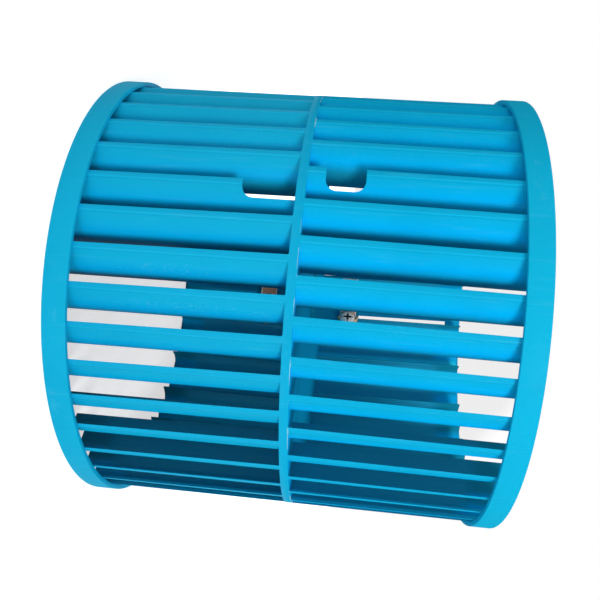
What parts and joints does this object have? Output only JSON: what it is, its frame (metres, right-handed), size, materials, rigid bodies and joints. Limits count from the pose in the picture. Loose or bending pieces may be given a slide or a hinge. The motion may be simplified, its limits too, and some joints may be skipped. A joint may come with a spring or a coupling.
{
  "type": "centrifugal fan wheel",
  "caption": "Double-inlet centrifugal fan wheel with forward-curved blades on both sides of a centre disc, end rings and a hub held by worm clamps.",
  "frame": {"origin": "centre of the lower ring's end face, on the shaft axis", "axes": "+Z along the shaft axis from the lower inlet to the upper one; -Y faces the camera, at the blade of the lower half whose lip is at 270 degrees"},
  "size_m": [0.232, 0.232, 0.209],
  "materials": {
    "blue_plastic": "semi-gloss moulded",
    "band_steel": "rolled, zinc plated",
    "housing_steel": "stamped, zinc plated",
    "screw_steel": "bright zinc plated"
  },
  "bodies": {
    "root": {"fan_wheel": "blue_plastic", "lower_clamp_band": "band_steel", "lower_clamp_housing": "housing_steel", "lower_clamp_screw": "screw_steel", "upper_clamp_band": "band_steel", "upper_clamp_housing": "housing_steel", "upper_clamp_screw": "screw_steel"}
  },
  "joints": []
}
